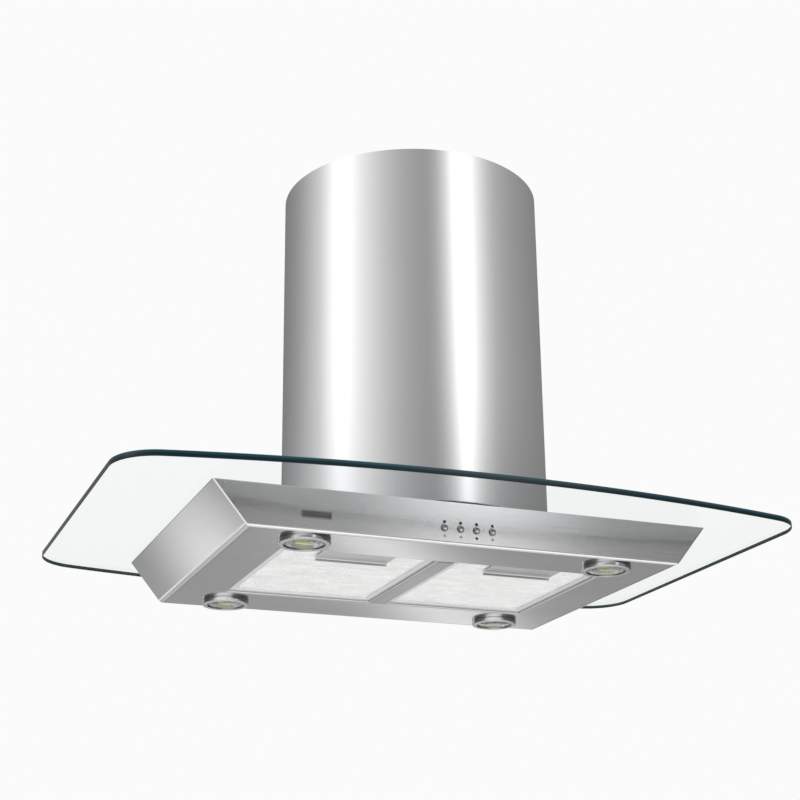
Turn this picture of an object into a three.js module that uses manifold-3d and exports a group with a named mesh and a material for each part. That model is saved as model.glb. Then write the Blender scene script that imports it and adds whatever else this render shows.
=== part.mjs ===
// Island range hood: a round telescopic chimney over a curved glass canopy and a shallow steel body that
// holds two grease filters, four lamps and four push buttons, with the blower inside the chimney.
// Millimetres, +Z up. The origin is the centre of the ceiling plate's top face, on the chimney's axis.
// The controls face -Y. The hood stands fully raised, its chimney sections nested.

import * as THREE from "three";
import { mergeVertices } from "three/addons/utils/BufferGeometryUtils.js";
import Module from "manifold-3d";

const wasm = await Module();
wasm.setup();

// Clearances and stock.
const GAP = 0.3; // between two pieces that meet
const SHEET = 1.2; // sheet steel of the body, chimney and blower
const PAST = 5; // how far a cutter runs past the face it opens

// Overall layout.
const DROP = 492; // ceiling to the top of the body
const CANOPY_BACK = 22; // centre of the canopy behind the chimney's axis

// Chimney and the frame inside it.
const CHIMNEY_RADIUS = 177.4;
const CHIMNEY_TOP = -1;
const UPPER_RADIUS = 174.5; // the inner, upper section
const UPPER_BOTTOM = -441;
const ROUND = 60; // facets of a chimney
const PLATE = { thickness: 3, ductHole: 108, rim: 25, slotRadius: 138, slotWidth: 8, slotLength: 24 };
const VENT = { count: 5, height: 5, width: 70, pitch: 12, top: -50 };
const STRUT = { corner: 118, leg: 25, thickness: 2.5, top: -3.3, bottom: -440 };
const RUNNER = { corner: 115.2, top: -62 }; // lower struts, which slide inside the upper ones
const BRACE = { inner: 84, thickness: 2 };
const RING = { inner: 166.5, flange: 1.5, wall: 1.3, height: 21 };

// Glass canopy.
const GLASS = { thickness: 8, halfLength: 450, halfDepth: 312.8, bow: 52, corner: 60, hole: 165 };

// Steel body.
const BODY = { halfTop: 329, halfBottom: 285.5, halfDepth: 212, height: 53.5, lid: 1.5 };
const FILTER_OPENING = { inner: 13, outer: 216, front: -128, back: 118, lip: 10 };
const FILTER = { clear: 1.5, recess: 3, thickness: 9, rim: 10, meshThickness: 5 };
const LATCH = { halfWidth: 47.5, depth: 35.5, thickness: 1.5, pull: 4, setBack: 1 };
const LAMP = { x: 203, y: 172, radius: 32, barrel: 28, glass: 25, proud: 6.5, depth: 21.5, bulb: 2.2 };
const LAMPS = [
  ["front_left", -1, -1],
  ["front_right", 1, -1],
  ["back_left", -1, 1],
  ["back_right", 1, 1],
];

// Controls on the front face.
const BUTTON = { count: 4, pitch: 21.2, centre: -5.9, drop: 33.4, radius: 4.2, proud: 2.8, travel: 2.5 };
const INDICATOR = { drop: 26, radius: 1.6, proud: 0.6 };
const BADGE = { x: -201, drop: 32.5, width: 38, height: 9, thickness: 0.8 };

// Blower and what belongs to it.
const CHAMBER = { halfWidth: 84, halfDepth: 136, top: -224, outlet: 72 };
const INTAKE = { halfWidth: 82, halfDepth: 134 };
const COLLAR = { radius: 75, flange: 82, top: -185, ledge: 70, ledgeZ: -205.8 };
const FLAP = { radius: 72.5, start: 2.2, thickness: 1, z: -204, axle: 1.5 };
const BLOWER = { y: -52, z: -352, halfWidth: 48, eye: 46, scrollStart: 64, scrollEnd: 100, cutoff: 60 };
const WHEEL = { radius: 58, inner: 46, halfWidth: 42, blades: 22, blade: 1.2, hub: 9, shaft: 4 };
const MOTOR = { radius: 34, start: 8, end: 70 };

const FINISHES = {
  mirrorSteel: { color: 0xc6c8cb, roughness: 0.18, metalness: 1 },
  brushedSteel: { color: 0xb2b3b6, roughness: 0.34, metalness: 1 },
  zincSteel: { color: 0x9a9fa3, roughness: 0.5, metalness: 0.9 },
  chrome: { color: 0xdfe1e3, roughness: 0.08, metalness: 1 },
  aluminium: { color: 0xe2e3e4, roughness: 0.4, metalness: 1 },
  clearGlass: { color: 0xcfe6e4, roughness: 0.03, metalness: 0, transparent: true, opacity: 0.35 },
  blackPlastic: { color: 0x1c1d1f, roughness: 0.55, metalness: 0 },
  greyPlastic: { color: 0x8a8d90, roughness: 0.5, metalness: 0 },
  rubber: { color: 0x222222, roughness: 0.8, metalness: 0 },
  board: { color: 0x1f5a36, roughness: 0.6, metalness: 0 },
  bulbGlass: { color: 0xd9d98f, roughness: 0.1, metalness: 0 },
  blackPaint: { color: 0x26282b, roughness: 0.45, metalness: 0.2 },
};

// ---- Shape helpers ----

function mid([low, high]) {
  return (low + high) / 2;
}

function block(x, y, z) {
  const box = new THREE.BoxGeometry(x[1] - x[0], y[1] - y[0], z[1] - z[0]);
  return box.translate(mid(x), mid(y), mid(z));
}

// A solid of revolution about Z. The profile is a list of [radius, z], counter-clockwise.
function turned(profile, facets = 32) {
  const points = profile.map(([radius, z]) => new THREE.Vector2(radius, z));
  return new THREE.LatheGeometry(points, facets).rotateX(Math.PI / 2);
}

function tube(inner, outer, z, facets) {
  return turned(
    [
      [outer, z[0]],
      [outer, z[1]],
      [inner, z[1]],
      [inner, z[0]],
      [outer, z[0]],
    ],
    facets,
  );
}

function rod(radius, z, facets = 24) {
  return turned(
    [
      [0, z[0]],
      [radius, z[0]],
      [radius, z[1]],
      [0, z[1]],
    ],
    facets,
  );
}

// A rod along X or Y, made along Z and turned.
function rodAlongX(radius, x, facets) {
  return rod(radius, x, facets).rotateY(Math.PI / 2);
}

function rodAlongY(radius, y, facets) {
  return rod(radius, [-y[1], -y[0]], facets).rotateX(Math.PI / 2);
}

// An outline in the XY plane, raised between two heights.
function raised(shape, z, curveSegments = 16) {
  const depth = z[1] - z[0];
  return new THREE.ExtrudeGeometry(shape, { depth, bevelEnabled: false, curveSegments }).translate(0, 0, z[0]);
}

// An outline drawn in XZ, with its thickness along Y.
function standing(shape, y) {
  return raised(shape, [-y[1], -y[0]]).rotateX(Math.PI / 2);
}

// An outline drawn in YZ, with its thickness along X.
function sideways(shape, x) {
  return raised(shape, x).rotateX(Math.PI / 2).rotateZ(Math.PI / 2);
}

function outline(points) {
  return new THREE.Shape(points.map(([x, y]) => new THREE.Vector2(x, y)));
}

// ---- Joining and cutting ----

function solid(geometry) {
  const plain = geometry.clone();
  plain.deleteAttribute("normal");
  plain.deleteAttribute("uv");
  const merged = mergeVertices(plain, 1e-4);
  const vertProperties = merged.attributes.position.array;
  const triVerts = new Uint32Array(merged.index.array);
  return new wasm.Manifold(new wasm.Mesh({ numProp: 3, vertProperties, triVerts }));
}

function geometryOf(body) {
  const { vertProperties, triVerts } = body.getMesh();
  const geometry = new THREE.BufferGeometry();
  geometry.setAttribute("position", new THREE.BufferAttribute(new Float32Array(vertProperties), 3));
  geometry.setIndex(new THREE.BufferAttribute(new Uint32Array(triVerts), 1));
  const faceted = geometry.toNonIndexed();
  faceted.computeVertexNormals();
  return faceted;
}

function joined(...pieces) {
  return geometryOf(pieces.map(solid).reduce((whole, piece) => whole.add(piece)));
}

function cut(piece, ...cutters) {
  return geometryOf(cutters.map(solid).reduce((left, cutter) => left.subtract(cutter), solid(piece)));
}

// ---- Scene graph helper ----

function place(group, name, geometry, finish, position = [0, 0, 0], rotation = [0, 0, 0]) {
  const mesh = new THREE.Mesh(geometry, new THREE.MeshStandardMaterial(FINISHES[finish]));
  mesh.name = name;
  mesh.position.set(...position);
  mesh.rotation.set(...rotation);
  group.add(mesh);
  return mesh;
}

// ---- Ceiling mount: what stays on the ceiling ----

function slotCutter() {
  const { slotWidth, slotLength, slotRadius, thickness } = PLATE;
  const radius = slotWidth / 2;
  const straight = slotLength / 2 - radius;
  const shape = new THREE.Shape();
  shape.absarc(straight, 0, radius, -Math.PI / 2, Math.PI / 2, false);
  shape.absarc(-straight, 0, radius, Math.PI / 2, (3 * Math.PI) / 2, false);
  return raised(shape, [-thickness - PAST, PAST], 4).translate(0, slotRadius, 0);
}

// An annular plate with a turned-down rim that the upper chimney is screwed to.
function ceilingPlate() {
  const rimOuter = UPPER_RADIUS - SHEET - GAP;
  const rimInner = rimOuter - SHEET;
  const low = -PLATE.thickness;
  const plate = turned(
    [
      [rimOuter, low - PLATE.rim],
      [rimOuter, 0],
      [PLATE.ductHole, 0],
      [PLATE.ductHole, low],
      [rimInner, low],
      [rimInner, low - PLATE.rim],
      [rimOuter, low - PLATE.rim],
    ],
    ROUND,
  );
  const slots = [0, 1, 2, 3].map((quarter) => slotCutter().rotateZ((quarter * Math.PI) / 2));
  return cut(plate, ...slots);
}

// The inner chimney section, with a row of air slots on its left and right.
function upperChimney() {
  const wall = tube(UPPER_RADIUS - SHEET, UPPER_RADIUS, [UPPER_BOTTOM, CHIMNEY_TOP], ROUND);
  const slots = [];
  for (let row = 0; row < VENT.count; row++) {
    const top = VENT.top - row * VENT.pitch;
    const halfWidth = VENT.width / 2;
    for (const x of [[-UPPER_RADIUS - PAST, -UPPER_RADIUS / 2], [UPPER_RADIUS / 2, UPPER_RADIUS + PAST]]) {
      slots.push(block(x, [-halfWidth, halfWidth], [top - VENT.height, top]));
    }
  }
  return cut(wall, ...slots);
}

function angleSection(corner, z) {
  const tip = corner - STRUT.leg;
  const inside = corner - STRUT.thickness;
  return raised(
    outline([
      [corner, tip],
      [corner, corner],
      [tip, corner],
      [tip, inside],
      [inside, inside],
      [inside, tip],
    ]),
    z,
  );
}

function buildCeilingMount() {
  const group = new THREE.Group();
  place(group, "ceiling_plate", ceilingPlate(), "zincSteel");
  place(group, "upper_chimney", upperChimney(), "mirrorSteel");
  for (let quarter = 0; quarter < 4; quarter++) {
    const strut = angleSection(STRUT.corner, [STRUT.bottom, STRUT.top]);
    place(group, `upper_strut_${quarter + 1}`, strut, "zincSteel", [0, 0, 0], [0, 0, (quarter * Math.PI) / 2]);
  }
  return group;
}

// ---- Tower: the outer chimney and the frame that carries the canopy ----

const GLASS_TOP = -DROP + GAP + GLASS.thickness;

// The lower struts stand on the body's lid, each with a square foot.
function lowerStrut() {
  const foot = [RUNNER.corner - STRUT.leg, RUNNER.corner];
  const bottom = -DROP + GAP;
  return joined(
    angleSection(RUNNER.corner, [bottom, RUNNER.top]),
    block(foot, foot, [bottom, bottom + STRUT.thickness]),
  );
}

function strutBrace() {
  const outer = RUNNER.corner - STRUT.thickness - GAP;
  const z = [RUNNER.top - 10 - BRACE.thickness, RUNNER.top - 10];
  const { inner } = BRACE;
  return cut(
    block([-outer, outer], [-outer, outer], z),
    block([-inner, inner], [-inner, inner], [z[0] - PAST, z[1] + PAST]),
  );
}

// An angle ring that clamps the glass and holds the foot of the chimney.
function chimneyRing() {
  const outer = CHIMNEY_RADIUS - SHEET - GAP;
  const low = GLASS_TOP + GAP;
  return turned(
    [
      [RING.inner, low],
      [outer, low],
      [outer, low + RING.height],
      [outer - RING.wall, low + RING.height],
      [outer - RING.wall, low + RING.flange],
      [RING.inner, low + RING.flange],
      [RING.inner, low],
    ],
    ROUND,
  );
}

function buildTower() {
  const group = new THREE.Group();
  const chimney = tube(CHIMNEY_RADIUS - SHEET, CHIMNEY_RADIUS, [GLASS_TOP + GAP, CHIMNEY_TOP], ROUND);
  place(group, "lower_chimney", chimney, "mirrorSteel");
  place(group, "chimney_ring", chimneyRing(), "zincSteel");
  place(group, "strut_brace", strutBrace(), "zincSteel");
  for (let quarter = 0; quarter < 4; quarter++) {
    const name = `lower_strut_${quarter + 1}`;
    place(group, name, lowerStrut(), "zincSteel", [0, 0, 0], [0, 0, (quarter * Math.PI) / 2]);
  }
  return group;
}

// ---- Canopy: built about its own centre, with z = 0 at the top of the body ----

// Front and back edges are wide arcs, the ends are straight, and the corners are rounded.
function glassOutline() {
  const { halfLength, halfDepth, bow, corner } = GLASS;
  const wide = (halfLength ** 2 + bow ** 2) / (2 * bow);
  const wideY = wide - halfDepth;
  const cornerX = halfLength - corner;
  const cornerY = wideY - Math.sqrt((wide - corner) ** 2 - cornerX ** 2);
  const lean = Math.atan2(cornerY - wideY, cornerX);
  const shape = new THREE.Shape();
  shape.absarc(0, wideY, wide, -Math.PI - lean, lean, false);
  shape.absarc(cornerX, cornerY, corner, lean, 0, false);
  shape.absarc(cornerX, -cornerY, corner, 0, -lean, false);
  shape.absarc(0, -wideY, wide, -lean, Math.PI + lean, false);
  shape.absarc(-cornerX, -cornerY, corner, Math.PI + lean, Math.PI, false);
  shape.absarc(-cornerX, cornerY, corner, Math.PI, Math.PI - lean, false);
  return shape;
}

function glassCanopy() {
  const sheet = raised(glassOutline(), [GAP, GAP + GLASS.thickness]);
  const hole = rod(GLASS.hole, [-PAST, GLASS.thickness + PAST], ROUND).translate(0, -CANOPY_BACK, 0);
  return cut(sheet, hole);
}

function bodyHalfWidth(z) {
  return BODY.halfTop + (z * (BODY.halfTop - BODY.halfBottom)) / BODY.height;
}

// A block whose left and right sides slope with the body's.
function taperedBlock(inset, y, z) {
  const low = bodyHalfWidth(z[0]) - inset;
  const high = bodyHalfWidth(z[1]) - inset;
  return standing(
    outline([
      [-low, z[0]],
      [low, z[0]],
      [high, z[1]],
      [-high, z[1]],
    ]),
    y,
  );
}

// Horizontal thickness of the sloping side walls.
const SIDE_WALL = SHEET * Math.hypot(1, (BODY.halfTop - BODY.halfBottom) / BODY.height);
const INNER_DEPTH = BODY.halfDepth - SHEET;

function buttonX(index) {
  return BUTTON.centre + (index - (BUTTON.count - 1) / 2) * BUTTON.pitch;
}

function buttonIndices() {
  return Array.from({ length: BUTTON.count }, (_, index) => index);
}

// The folded outer shell: lid and four walls, open below.
function canopyShell() {
  const { halfDepth, height, lid } = BODY;
  const front = [-halfDepth - PAST, -halfDepth + PAST];
  const buttonHoles = buttonIndices().map((i) =>
    rodAlongY(BUTTON.radius + 0.4, front, 16).translate(buttonX(i), 0, -BUTTON.drop),
  );
  const indicatorHoles = buttonIndices().map((i) =>
    rodAlongY(INDICATOR.radius + GAP, front, 12).translate(buttonX(i), 0, -INDICATOR.drop),
  );
  const { halfWidth, halfDepth: intakeDepth } = INTAKE;
  const intake = block([-halfWidth, halfWidth], [-intakeDepth, intakeDepth], [-lid - PAST, PAST]);
  return cut(
    taperedBlock(0, [-halfDepth, halfDepth], [-height, 0]),
    taperedBlock(SIDE_WALL, [-INNER_DEPTH, INNER_DEPTH], [-height - PAST, -lid]),
    intake.translate(0, -CANOPY_BACK, 0),
    ...buttonHoles,
    ...indicatorHoles,
  );
}

function openingRange(side) {
  const { inner, outer } = FILTER_OPENING;
  return side < 0 ? [-outer, -inner] : [inner, outer];
}

function widened([low, high], by) {
  return [low - by, high + by];
}

// The underside: a plate with a turned-up lip round each filter opening.
function bottomPanel() {
  const low = -BODY.height;
  const high = low + SHEET;
  const halfWidth = bodyHalfWidth(low) - SIDE_WALL - GAP;
  const halfDepth = INNER_DEPTH - GAP;
  const depth = [FILTER_OPENING.front, FILTER_OPENING.back];
  const plate = block([-halfWidth, halfWidth], [-halfDepth, halfDepth], [low, high]);
  const lips = [-1, 1].map((side) =>
    block(widened(openingRange(side), SHEET), widened(depth, SHEET), [low, high + FILTER_OPENING.lip]),
  );
  const openings = [-1, 1].map((side) => block(openingRange(side), depth, [low - PAST, PAST]));
  const lampHoles = LAMPS.map(([, x, y]) =>
    rod(LAMP.barrel + 0.5, [low - PAST, high + PAST]).translate(x * LAMP.x, y * LAMP.y, 0),
  );
  return cut(joined(plate, ...lips), ...openings, ...lampHoles);
}

function filterBox(side) {
  const low = -BODY.height + FILTER.recess;
  return {
    x: widened(openingRange(side), -FILTER.clear),
    y: widened([FILTER_OPENING.front, FILTER_OPENING.back], -FILTER.clear),
    z: [low, low + FILTER.thickness],
  };
}

function filterFrame(side) {
  const { x, y, z } = filterBox(side);
  return cut(block(x, y, z), block(widened(x, -FILTER.rim), widened(y, -FILTER.rim), widened(z, PAST)));
}

// The mesh pack inside the frame, as one plate.
function filterMesh(side) {
  const box = filterBox(side);
  const middle = mid(box.z);
  const z = [middle - FILTER.meshThickness / 2, middle + FILTER.meshThickness / 2];
  return block(widened(box.x, -FILTER.rim - GAP), widened(box.y, -FILTER.rim - GAP), z);
}

// The spring latch under the filter's front rail: a flat plate with a turned-down pull.
function filterLatch(side) {
  const { x, z } = filterBox(side);
  const centre = mid(x);
  const wide = [centre - LATCH.halfWidth, centre + LATCH.halfWidth];
  const front = FILTER_OPENING.front + FILTER.clear + LATCH.setBack;
  const high = z[0] - GAP;
  const low = high - LATCH.thickness;
  const back = front + LATCH.depth;
  return joined(
    block(wide, [front, back], [low, high]),
    block(wide, [back - LATCH.thickness, back], [low - LATCH.pull, high]),
  );
}

// A lamp's cup: a rounded trim ring under the panel and a bowl-shaped reflector rising from it.
function lampHousing() {
  const ringLow = -LAMP.proud;
  const ringHigh = -GAP;
  const seat = ringLow + 2.8;
  const top = LAMP.depth;
  return turned(
    [
      [LAMP.radius - 4, ringLow],
      [LAMP.radius - 1.2, ringLow + 1.2],
      [LAMP.radius, ringLow + 3.5],
      [LAMP.radius, ringHigh],
      [LAMP.barrel, ringHigh],
      [LAMP.barrel, top],
      [0, top],
      [0, top - 6],
      [9, top - 6],
      [17, top - 9],
      [22.5, top - 14],
      [LAMP.glass - 0.8, ringHigh],
      [LAMP.glass - 0.8, seat],
      [LAMP.glass + GAP, seat],
      [LAMP.glass + GAP, ringLow],
      [LAMP.radius - 4, ringLow],
    ],
    28,
  );
}

function lampLens() {
  return rod(LAMP.glass, [-LAMP.proud + 1, -LAMP.proud + 2.5], 28);
}

// A halogen capsule lying across the cup, with its ceramic foot at one end.
function lampBulb() {
  const capsule = turned(
    [
      [0, -9],
      [2.6, -8.2],
      [4.2, -6.2],
      [4.7, -4],
      [4.7, 8],
      [0, 8],
    ],
    12,
  ).rotateY(Math.PI / 2);
  const foot = block([7, 14.5], [-5, 5], [-4, 8]);
  return joined(capsule, foot).translate(0, 0, LAMP.bulb);
}

// A domed cap, a collar behind the panel that keeps it in, and a stem towards its switch.
const BUTTON_STEM = 9;

function pushButton() {
  const back = SHEET + 0.4;
  return turned(
    [
      [0, -back - BUTTON_STEM],
      [2.5, -back - BUTTON_STEM],
      [2.5, -back - SHEET],
      [BUTTON.radius + SHEET, -back - SHEET],
      [BUTTON.radius + SHEET, -back],
      [BUTTON.radius, -back],
      [BUTTON.radius, BUTTON.proud - 0.8],
      [BUTTON.radius - 0.8, BUTTON.proud],
      [0, BUTTON.proud],
    ],
    16,
  ).rotateX(Math.PI / 2);
}

// The light guide: one bar behind the panel with a peg through each indicator hole.
function lightGuide() {
  const front = -BODY.halfDepth;
  const bar = block(
    [buttonX(0) - 6, buttonX(BUTTON.count - 1) + 6],
    [front + SHEET + 0.4, front + SHEET + 4],
    [-INDICATOR.drop - 1.3, -INDICATOR.drop + 2.5],
  );
  const pegs = buttonIndices().map((i) =>
    rodAlongY(INDICATOR.radius, [front - INDICATOR.proud, front + SHEET + 2], 12).translate(
      buttonX(i),
      0,
      -INDICATOR.drop,
    ),
  );
  return joined(bar, ...pegs);
}

function addControls(group) {
  const front = -BODY.halfDepth;
  const middle = BUTTON.centre;
  const blockFront = front + SHEET + 0.4 + BUTTON_STEM + BUTTON.travel + 0.4;
  const blockBack = blockFront + 17;
  const depth = [blockBack + GAP, blockBack + GAP + 1.6];
  buttonIndices().forEach((i) => {
    place(group, `button_${i + 1}`, pushButton(), "chrome", [buttonX(i), front, -BUTTON.drop]);
  });
  place(group, "light_guide", lightGuide(), "clearGlass");
  place(
    group,
    "switch_block",
    block([middle - 39, middle + 39], [blockFront, blockBack], [-42, -17]),
    "blackPlastic",
  );
  place(group, "control_board", block([middle - 55, middle + 55], depth, [-46, -12]), "board");
  const { x, drop, width, height, thickness } = BADGE;
  const badge = block([-width / 2, width / 2], [-thickness, 0], [-height / 2, height / 2]);
  place(group, "badge", badge, "chrome", [x, front - GAP, -drop]);
}

function addLamps(group) {
  LAMPS.forEach(([name, x, y]) => {
    const position = [x * LAMP.x, y * LAMP.y, -BODY.height];
    place(group, `lamp_housing_${name}`, lampHousing(), "chrome", position);
    place(group, `lamp_lens_${name}`, lampLens(), "clearGlass", position);
    place(group, `lamp_bulb_${name}`, lampBulb(), "bulbGlass", position);
  });
}

function addFilters(group) {
  [
    ["left", -1],
    ["right", 1],
  ].forEach(([name, side]) => {
    place(group, `filter_frame_${name}`, filterFrame(side), "aluminium");
    place(group, `filter_mesh_${name}`, filterMesh(side), "aluminium");
    place(group, `filter_latch_${name}`, filterLatch(side), "brushedSteel");
  });
}

function buildCanopy() {
  const group = new THREE.Group();
  group.position.set(0, CANOPY_BACK, -DROP);
  place(group, "glass_canopy", glassCanopy(), "clearGlass");
  const grommet = tube(GLASS.hole - 1.7, GLASS.hole - GAP, [GAP, GAP + GLASS.thickness], ROUND);
  place(group, "glass_grommet", grommet, "rubber", [0, -CANOPY_BACK, 0]);
  place(group, "canopy_shell", canopyShell(), "brushedSteel");
  place(group, "bottom_panel", bottomPanel(), "brushedSteel");
  addControls(group);
  addLamps(group);
  addFilters(group);
  return group;
}

// ---- Blower: inside the chimney, on top of the body ----

function motorChamber() {
  const { halfWidth, halfDepth, top, outlet } = CHAMBER;
  const bottom = -DROP + GAP;
  return cut(
    block([-halfWidth, halfWidth], [-halfDepth, halfDepth], [bottom, top]),
    block(
      [-halfWidth + SHEET, halfWidth - SHEET],
      [-halfDepth + SHEET, halfDepth - SHEET],
      [bottom - PAST, top - SHEET],
    ),
    rod(outlet, [top - PAST, top + PAST], 36),
  );
}

// The round outlet that the duct slides over, with an inner ledge that the damper flaps rest on.
function outletCollar() {
  const { radius, flange, top, ledge, ledgeZ } = COLLAR;
  const low = CHAMBER.top + GAP;
  const inner = radius - SHEET;
  return turned(
    [
      [inner, low],
      [flange, low],
      [flange, low + 1.5],
      [radius, low + 1.5],
      [radius, top],
      [inner, top],
      [inner, ledgeZ + 1],
      [ledge, ledgeZ + 1],
      [ledge, ledgeZ],
      [inner, ledgeZ],
      [inner, low],
    ],
    36,
  );
}

// Half of a disc on one side of the axle.
function damperFlap(side) {
  const { radius, start, thickness, z } = FLAP;
  const limit = Math.acos(start / radius);
  const shape = new THREE.Shape();
  const middle = side > 0 ? 0 : Math.PI;
  shape.absarc(0, 0, radius, middle - limit, middle + limit, false);
  return raised(shape, [z - thickness / 2, z + thickness / 2], 18);
}

// The scroll's outline in YZ about the wheel's axis, moved inwards by an inset: a spiral that
// opens into a straight duct going up.
function scrollOutline(inset, top) {
  const { cutoff, scrollStart, scrollEnd } = BLOWER;
  const step = 12;
  const points = [];
  for (let angle = cutoff; angle <= 360; angle += step) {
    const share = (angle - cutoff) / (360 - cutoff);
    const radius = scrollStart + share * (scrollEnd - scrollStart) - inset;
    const turn = THREE.MathUtils.degToRad(angle);
    points.push([radius * Math.cos(turn), radius * Math.sin(turn)]);
  }
  const cutoffY = scrollStart * Math.cos(THREE.MathUtils.degToRad(cutoff));
  points.push([scrollEnd - inset, top], [cutoffY + inset, top]);
  return outline(points);
}

function blowerHousing() {
  const { halfWidth, eye, z } = BLOWER;
  const top = CHAMBER.top - SHEET - GAP - z;
  const inner = halfWidth - SHEET;
  return cut(
    sideways(scrollOutline(0, top), [-halfWidth, halfWidth]),
    sideways(scrollOutline(SHEET, top + PAST), [-inner, inner]),
    rodAlongX(eye, [-halfWidth - PAST, halfWidth + PAST], 32),
  );
}

// A double-inlet wheel: two rims and a middle disc joined by forward-curved blades.
function impeller() {
  const { radius, inner, halfWidth, blades, blade, hub, shaft } = WHEEL;
  const chord = radius - inner - 0.6;
  const lean = THREE.MathUtils.degToRad(28);
  const pieces = [
    rodAlongX(radius, [-1, 1], 32),
    tube(inner, radius, [-halfWidth, -halfWidth + 2], 32).rotateY(Math.PI / 2),
    tube(inner, radius, [halfWidth - 2, halfWidth], 32).rotateY(Math.PI / 2),
    rodAlongX(hub, [-10, 6], 12),
  ];
  for (let index = 0; index < blades; index++) {
    const plate = block([-halfWidth + 0.5, halfWidth - 0.5], [-chord / 2, chord / 2], [-blade / 2, blade / 2]);
    plate.rotateX(lean).translate(0, (radius + inner) / 2, 0);
    pieces.push(plate.rotateX((index * 2 * Math.PI) / blades));
  }
  return cut(joined(...pieces), rodAlongX(shaft + GAP, [-20, 20], 12));
}

function motor() {
  const { radius, start, end } = MOTOR;
  const bore = WHEEL.shaft + GAP;
  return turned(
    [
      [bore, start],
      [12, start],
      [12, start + 3],
      [radius - 6, start + 3],
      [radius, start + 9],
      [radius, end - 6],
      [radius - 6, end],
      [0, end],
      [0, start + 14],
      [bore, start + 14],
      [bore, start],
    ],
    24,
  ).rotateY(Math.PI / 2);
}

// A band round the motor with three arms to the side of the scroll.
function motorBracket() {
  const inner = MOTOR.radius + GAP;
  const outer = inner + 3;
  const start = BLOWER.halfWidth + 0.4;
  const pieces = [tube(inner, outer, [start, start + 10], 24).rotateY(Math.PI / 2)];
  for (let arm = 0; arm < 3; arm++) {
    const strip = block([start, start + 2], [outer - 1, BLOWER.eye + 14], [-6, 6]);
    pieces.push(strip.rotateX((arm * 2 * Math.PI) / 3));
  }
  return joined(...pieces);
}

function addBlower(group) {
  const wheel = new THREE.Group();
  wheel.position.set(0, BLOWER.y, BLOWER.z);
  place(wheel, "blower_housing", blowerHousing(), "zincSteel");
  place(wheel, "impeller", impeller(), "zincSteel");
  place(wheel, "impeller_shaft", rodAlongX(WHEEL.shaft, [-14, MOTOR.start + 12], 12), "zincSteel");
  place(wheel, "motor", motor(), "blackPaint");
  place(wheel, "motor_bracket", motorBracket(), "zincSteel");
  group.add(wheel);
}

function addOutlet(group) {
  const reach = COLLAR.ledge - GAP;
  place(group, "outlet_collar", outletCollar(), "blackPlastic");
  place(group, "damper_axle", rodAlongY(FLAP.axle, [-reach, reach], 12), "zincSteel", [0, 0, FLAP.z]);
  place(group, "damper_flap_left", damperFlap(-1), "blackPlastic");
  place(group, "damper_flap_right", damperFlap(1), "blackPlastic");
}

// Electrical pieces against the back wall of the chamber, inside and outside it.
function addElectrics(group) {
  const wall = CHAMBER.halfDepth - SHEET - GAP;
  const capacitor = rodAlongX(14, [-30, 30]);
  place(group, "capacitor", capacitor, "greyPlastic", [0, wall - 14, -300]);
  place(group, "transformer", block([-32, 32], [wall - 34, wall], [-440, -395]), "blackPlastic");

  const back = CHAMBER.halfDepth + GAP;
  const depth = 20;
  const x = [-32, 32];
  const z = [-330, -272];
  const y = [back, back + depth];
  const wallThickness = 2;
  const box = cut(
    block(x, y, z),
    block(widened(x, -wallThickness), [y[0] + wallThickness, y[1] + PAST], widened(z, -wallThickness)),
  );
  const lid = [y[1] + GAP, y[1] + GAP + wallThickness];
  const strip = [y[0] + wallThickness + GAP, y[0] + 14];
  place(group, "terminal_box", box, "greyPlastic");
  place(group, "terminal_lid", block(x, lid, z), "greyPlastic");
  place(group, "terminal_block", block([-20, 20], strip, [-310, -294]), "blackPlastic");
  place(group, "cable_gland", cableGland(), "blackPlastic", [0, mid(y), z[1] + GAP]);
}

// A stepped cable gland with a shallow plugged mouth.
function cableGland() {
  return turned(
    [
      [0, 0],
      [9, 0],
      [9, 8],
      [7.5, 9],
      [7.5, 14],
      [5.5, 17],
      [4, 17],
      [4, 15],
      [0, 15],
    ],
    12,
  );
}

function buildBlower() {
  const group = new THREE.Group();
  place(group, "motor_chamber", motorChamber(), "zincSteel");
  addBlower(group);
  addOutlet(group);
  addElectrics(group);
  return group;
}

const hood = new THREE.Group();
hood.add(buildCeilingMount(), buildTower(), buildCanopy(), buildBlower());

export default hood;
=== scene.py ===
"""The looks of an island range hood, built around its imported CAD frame. Metres, in the CAD's own frame:
the origin is at the ceiling on the chimney's axis, +Z is up and the controls face -Y."""

import math
import random

import bmesh
import bpy
from mathutils import Matrix, Vector


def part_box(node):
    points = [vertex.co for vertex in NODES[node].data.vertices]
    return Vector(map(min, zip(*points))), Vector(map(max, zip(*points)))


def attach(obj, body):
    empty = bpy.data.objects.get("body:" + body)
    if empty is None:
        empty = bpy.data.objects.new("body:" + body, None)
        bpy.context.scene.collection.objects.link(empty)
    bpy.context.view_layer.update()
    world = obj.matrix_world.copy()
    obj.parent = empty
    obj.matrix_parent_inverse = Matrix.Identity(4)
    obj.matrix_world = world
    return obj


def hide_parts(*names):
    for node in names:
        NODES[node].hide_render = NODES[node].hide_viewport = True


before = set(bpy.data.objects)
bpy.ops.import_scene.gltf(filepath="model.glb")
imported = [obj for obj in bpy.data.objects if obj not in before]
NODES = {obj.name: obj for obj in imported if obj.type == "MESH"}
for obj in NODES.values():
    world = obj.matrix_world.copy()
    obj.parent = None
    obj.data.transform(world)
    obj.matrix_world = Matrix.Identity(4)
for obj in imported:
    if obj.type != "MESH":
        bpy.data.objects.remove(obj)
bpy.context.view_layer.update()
MM = 0.001

# ---- Sizes taken from the frame ----

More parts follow.
